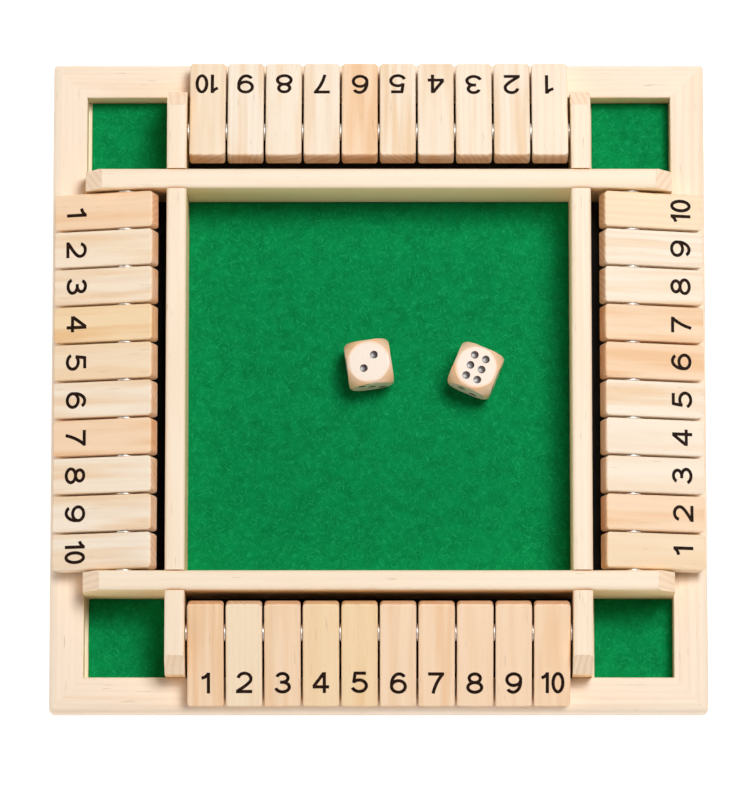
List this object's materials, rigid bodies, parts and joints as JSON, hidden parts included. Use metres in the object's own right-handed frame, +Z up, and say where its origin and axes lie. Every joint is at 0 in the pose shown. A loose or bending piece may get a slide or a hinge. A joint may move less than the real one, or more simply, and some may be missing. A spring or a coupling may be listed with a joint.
{
  "type": "shut the box game",
  "caption": "Square wooden dice tray with crossing divider bars, a felt floor, a row of numbered flip tiles on a steel rod along each side, and loose wooden dice.",
  "frame": {"origin": "middle of the tray's underside, on the surface it lies on", "axes": "+Z up; +Y towards the row at the top of the picture; +X to the right of the picture"},
  "size_m": [0.285, 0.285, 0.037],
  "materials": {
    "frame_wood": "fine-sanded pale pine, mitred, unvarnished",
    "bar_wood": "fine-sanded pale pine, eased edges",
    "base_wood": "thin bare plywood",
    "felt": "short green wool-mix felt, glued flat",
    "rod_steel": "drawn bright wire",
    "washer_steel": "bright plated, bevelled rim",
    "tile_wood_cream": "fine-sanded pine, eased edges, printed number",
    "tile_wood_amber": "fine-sanded pine, resin-tinted, eased edges, printed number",
    "tile_wood_rose": "fine-sanded pine, pinkish, eased edges, printed number",
    "dice_wood": "turned and tumbled beech, thin clear coat",
    "number_ink": "screen-printed dark ink",
    "pip_paint": "dark paint filling the pips"
  },
  "bodies": {
    "tray": {"north_rail": "frame_wood", "east_rail": "frame_wood", "south_rail": "frame_wood", "west_rail": "frame_wood", "base_board": "base_wood", "tray_felt": "felt", "corner_felts": "felt", "north_bar": "bar_wood", "east_bar": "bar_wood", "south_bar": "bar_wood", "west_bar": "bar_wood", "north_rod": "rod_steel", "east_rod": "rod_steel", "south_rod": "rod_steel", "west_rod": "rod_steel", "spacer_washers": "washer_steel"},
    "north_tile_01": {"north_tile_01": "tile_wood_cream"},
    "north_tile_02": {"north_tile_02": "tile_wood_cream"},
    "north_tile_03": {"north_tile_03": "tile_wood_cream"},
    "north_tile_04": {"north_tile_04": "tile_wood_cream"},
    "north_tile_05": {"north_tile_05": "tile_wood_cream"},
    "north_tile_06": {"north_tile_06": "tile_wood_rose"},
    "north_tile_07": {"north_tile_07": "tile_wood_cream"},
    "north_tile_08": {"north_tile_08": "tile_wood_cream"},
    "north_tile_09": {"north_tile_09": "tile_wood_cream"},
    "north_tile_10": {"north_tile_10": "tile_wood_amber"},
    "east_tile_01": {"east_tile_01": "tile_wood_amber"},
    "east_tile_02": {"east_tile_02": "tile_wood_rose"},
    "east_tile_03": {"east_tile_03": "tile_wood_cream"},
    "east_tile_04": {"east_tile_04": "tile_wood_cream"},
    "east_tile_05": {"east_tile_05": "tile_wood_cream"},
    "east_tile_06": {"east_tile_06": "tile_wood_rose"},
    "east_tile_07": {"east_tile_07": "tile_wood_rose"},
    "east_tile_08": {"east_tile_08": "tile_wood_cream"},
    "east_tile_09": {"east_tile_09": "tile_wood_cream"},
    "east_tile_10": {"east_tile_10": "tile_wood_amber"},
    "south_tile_01": {"south_tile_01": "tile_wood_rose"},
    "south_tile_02": {"south_tile_02": "tile_wood_cream"},
    "south_tile_03": {"south_tile_03": "tile_wood_rose"},
    "south_tile_04": {"south_tile_04": "tile_wood_amber"},
    "south_tile_05": {"south_tile_05": "tile_wood_amber"},
    "south_tile_06": {"south_tile_06": "tile_wood_rose"},
    "south_tile_07": {"south_tile_07": "tile_wood_rose"},
    "south_tile_08": {"south_tile_08": "tile_wood_rose"},
    "south_tile_09": {"south_tile_09": "tile_wood_rose"},
    "south_tile_10": {"south_tile_10": "tile_wood_rose"},
    "west_tile_01": {"west_tile_01": "tile_wood_rose"},
    "west_tile_02": {"west_tile_02": "tile_wood_cream"},
    "west_tile_03": {"west_tile_03": "tile_wood_cream"},
    "west_tile_04": {"west_tile_04": "tile_wood_amber"},
    "west_tile_05": {"west_tile_05": "tile_wood_amber"},
    "west_tile_06": {"west_tile_06": "tile_wood_cream"},
    "west_tile_07": {"west_tile_07": "tile_wood_rose"},
    "west_tile_08": {"west_tile_08": "tile_wood_cream"},
    "west_tile_09": {"west_tile_09": "tile_wood_cream"},
    "west_tile_10": {"west_tile_10": "tile_wood_cream"},
    "die_left": {"die_left": "dice_wood"},
    "die_right": {"die_right": "dice_wood"}
  },
  "joints": [
    {"name": "north_tile_01_flip", "type": "hinge", "parent": "tray", "child": "north_tile_01", "pos_m": [0.07447, 0.10949, 0.02875], "axis": [1, 0, 0], "range_deg": [0, 158.9]},
    {"name": "north_tile_02_flip", "type": "hinge", "parent": "tray", "child": "north_tile_02", "pos_m": [0.05792, 0.10949, 0.02875], "axis": [1, 0, 0], "range_deg": [0, 158.9]},
    {"name": "north_tile_03_flip", "type": "hinge", "parent": "tray", "child": "north_tile_03", "pos_m": [0.04138, 0.10949, 0.02875], "axis": [1, 0, 0], "range_deg": [0, 158.9]},
    {"name": "north_tile_04_flip", "type": "hinge", "parent": "tray", "child": "north_tile_04", "pos_m": [0.02482, 0.10949, 0.02875], "axis": [1, 0, 0], "range_deg": [0, 158.9]},
    {"name": "north_tile_05_flip", "type": "hinge", "parent": "tray", "child": "north_tile_05", "pos_m": [0.00827, 0.10949, 0.02875], "axis": [1, 0, 0], "range_deg": [0, 158.9]},
    {"name": "north_tile_06_flip", "type": "hinge", "parent": "tray", "child": "north_tile_06", "pos_m": [-0.00827, 0.10949, 0.02875], "axis": [1, 0, 0], "range_deg": [0, 158.9]},
    {"name": "north_tile_07_flip", "type": "hinge", "parent": "tray", "child": "north_tile_07", "pos_m": [-0.02482, 0.10949, 0.02875], "axis": [1, 0, 0], "range_deg": [0, 158.9]},
    {"name": "north_tile_08_flip", "type": "hinge", "parent": "tray", "child": "north_tile_08", "pos_m": [-0.04138, 0.10949, 0.02875], "axis": [1, 0, 0], "range_deg": [0, 158.9]},
    {"name": "north_tile_09_flip", "type": "hinge", "parent": "tray", "child": "north_tile_09", "pos_m": [-0.05792, 0.10949, 0.02875], "axis": [1, 0, 0], "range_deg": [0, 158.9]},
    {"name": "north_tile_10_flip", "type": "hinge", "parent": "tray", "child": "north_tile_10", "pos_m": [-0.07447, 0.10949, 0.02875], "axis": [1, 0, 0], "range_deg": [0, 158.9]},
    {"name": "east_tile_01_flip", "type": "hinge", "parent": "tray", "child": "east_tile_01", "pos_m": [0.10949, -0.07447, 0.02875], "axis": [0, -1, 0], "range_deg": [0, 158.9]},
    {"name": "east_tile_02_flip", "type": "hinge", "parent": "tray", "child": "east_tile_02", "pos_m": [0.10949, -0.05792, 0.02875], "axis": [0, -1, 0], "range_deg": [0, 158.9]},
    {"name": "east_tile_03_flip", "type": "hinge", "parent": "tray", "child": "east_tile_03", "pos_m": [0.10949, -0.04138, 0.02875], "axis": [0, -1, 0], "range_deg": [0, 158.9]},
    {"name": "east_tile_04_flip", "type": "hinge", "parent": "tray", "child": "east_tile_04", "pos_m": [0.10949, -0.02482, 0.02875], "axis": [0, -1, 0], "range_deg": [0, 158.9]},
    {"name": "east_tile_05_flip", "type": "hinge", "parent": "tray", "child": "east_tile_05", "pos_m": [0.10949, -0.00827, 0.02875], "axis": [0, -1, 0], "range_deg": [0, 158.9]},
    {"name": "east_tile_06_flip", "type": "hinge", "parent": "tray", "child": "east_tile_06", "pos_m": [0.10949, 0.00827, 0.02875], "axis": [0, -1, 0], "range_deg": [0, 158.9]},
    {"name": "east_tile_07_flip", "type": "hinge", "parent": "tray", "child": "east_tile_07", "pos_m": [0.10949, 0.02482, 0.02875], "axis": [0, -1, 0], "range_deg": [0, 158.9]},
    {"name": "east_tile_08_flip", "type": "hinge", "parent": "tray", "child": "east_tile_08", "pos_m": [0.10949, 0.04138, 0.02875], "axis": [0, -1, 0], "range_deg": [0, 158.9]},
    {"name": "east_tile_09_flip", "type": "hinge", "parent": "tray", "child": "east_tile_09", "pos_m": [0.10949, 0.05792, 0.02875], "axis": [0, -1, 0], "range_deg": [0, 158.9]},
    {"name": "east_tile_10_flip", "type": "hinge", "parent": "tray", "child": "east_tile_10", "pos_m": [0.10949, 0.07447, 0.02875], "axis": [0, -1, 0], "range_deg": [0, 158.9]},
    {"name": "south_tile_01_flip", "type": "hinge", "parent": "tray", "child": "south_tile_01", "pos_m": [-0.07447, -0.10949, 0.02875], "axis": [-1, 0, 0], "range_deg": [0, 158.9]},
    {"name": "south_tile_02_flip", "type": "hinge", "parent": "tray", "child": "south_tile_02", "pos_m": [-0.05792, -0.10949, 0.02875], "axis": [-1, 0, 0], "range_deg": [0, 158.9]},
    {"name": "south_tile_03_flip", "type": "hinge", "parent": "tray", "child": "south_tile_03", "pos_m": [-0.04138, -0.10949, 0.02875], "axis": [-1, 0, 0], "range_deg": [0, 158.9]},
    {"name": "south_tile_04_flip", "type": "hinge", "parent": "tray", "child": "south_tile_04", "pos_m": [-0.02482, -0.10949, 0.02875], "axis": [-1, 0, 0], "range_deg": [0, 158.9]},
    {"name": "south_tile_05_flip", "type": "hinge", "parent": "tray", "child": "south_tile_05", "pos_m": [-0.00827, -0.10949, 0.02875], "axis": [-1, 0, 0], "range_deg": [0, 158.9]},
    {"name": "south_tile_06_flip", "type": "hinge", "parent": "tray", "child": "south_tile_06", "pos_m": [0.00827, -0.10949, 0.02875], "axis": [-1, 0, 0], "range_deg": [0, 158.9]},
    {"name": "south_tile_07_flip", "type": "hinge", "parent": "tray", "child": "south_tile_07", "pos_m": [0.02482, -0.10949, 0.02875], "axis": [-1, 0, 0], "range_deg": [0, 158.9]},
    {"name": "south_tile_08_flip", "type": "hinge", "parent": "tray", "child": "south_tile_08", "pos_m": [0.04138, -0.10949, 0.02875], "axis": [-1, 0, 0], "range_deg": [0, 158.9]},
    {"name": "south_tile_09_flip", "type": "hinge", "parent": "tray", "child": "south_tile_09", "pos_m": [0.05792, -0.10949, 0.02875], "axis": [-1, 0, 0], "range_deg": [0, 158.9]},
    {"name": "south_tile_10_flip", "type": "hinge", "parent": "tray", "child": "south_tile_10", "pos_m": [0.07447, -0.10949, 0.02875], "axis": [-1, 0, 0], "range_deg": [0, 158.9]},
    {"name": "west_tile_01_flip", "type": "hinge", "parent": "tray", "child": "west_tile_01", "pos_m": [-0.10949, 0.07447, 0.02875], "axis": [0, 1, 0], "range_deg": [0, 158.9]},
    {"name": "west_tile_02_flip", "type": "hinge", "parent": "tray", "child": "west_tile_02", "pos_m": [-0.10949, 0.05792, 0.02875], "axis": [0, 1, 0], "range_deg": [0, 158.9]},
    {"name": "west_tile_03_flip", "type": "hinge", "parent": "tray", "child": "west_tile_03", "pos_m": [-0.10949, 0.04138, 0.02875], "axis": [0, 1, 0], "range_deg": [0, 158.9]},
    {"name": "west_tile_04_flip", "type": "hinge", "parent": "tray", "child": "west_tile_04", "pos_m": [-0.10949, 0.02482, 0.02875], "axis": [0, 1, 0], "range_deg": [0, 158.9]},
    {"name": "west_tile_05_flip", "type": "hinge", "parent": "tray", "child": "west_tile_05", "pos_m": [-0.10949, 0.00827, 0.02875], "axis": [0, 1, 0], "range_deg": [0, 158.9]},
    {"name": "west_tile_06_flip", "type": "hinge", "parent": "tray", "child": "west_tile_06", "pos_m": [-0.10949, -0.00827, 0.02875], "axis": [0, 1, 0], "range_deg": [0, 158.9]},
    {"name": "west_tile_07_flip", "type": "hinge", "parent": "tray", "child": "west_tile_07", "pos_m": [-0.10949, -0.02482, 0.02875], "axis": [0, 1, 0], "range_deg": [0, 158.9]},
    {"name": "west_tile_08_flip", "type": "hinge", "parent": "tray", "child": "west_tile_08", "pos_m": [-0.10949, -0.04138, 0.02875], "axis": [0, 1, 0], "range_deg": [0, 158.9]},
    {"name": "west_tile_09_flip", "type": "hinge", "parent": "tray", "child": "west_tile_09", "pos_m": [-0.10949, -0.05792, 0.02875], "axis": [0, 1, 0], "range_deg": [0, 158.9]},
    {"name": "west_tile_10_flip", "type": "hinge", "parent": "tray", "child": "west_tile_10", "pos_m": [-0.10949, -0.07447, 0.02875], "axis": [0, 1, 0], "range_deg": [0, 158.9]},
    {"name": "die_left_lift", "type": "slide", "parent": "tray", "child": "die_left", "axis": [0, 0, 1], "range_m": [0, 0.05]},
    {"name": "die_right_lift", "type": "slide", "parent": "tray", "child": "die_right", "axis": [0, 0, 1], "range_m": [0, 0.05]}
  ]
}
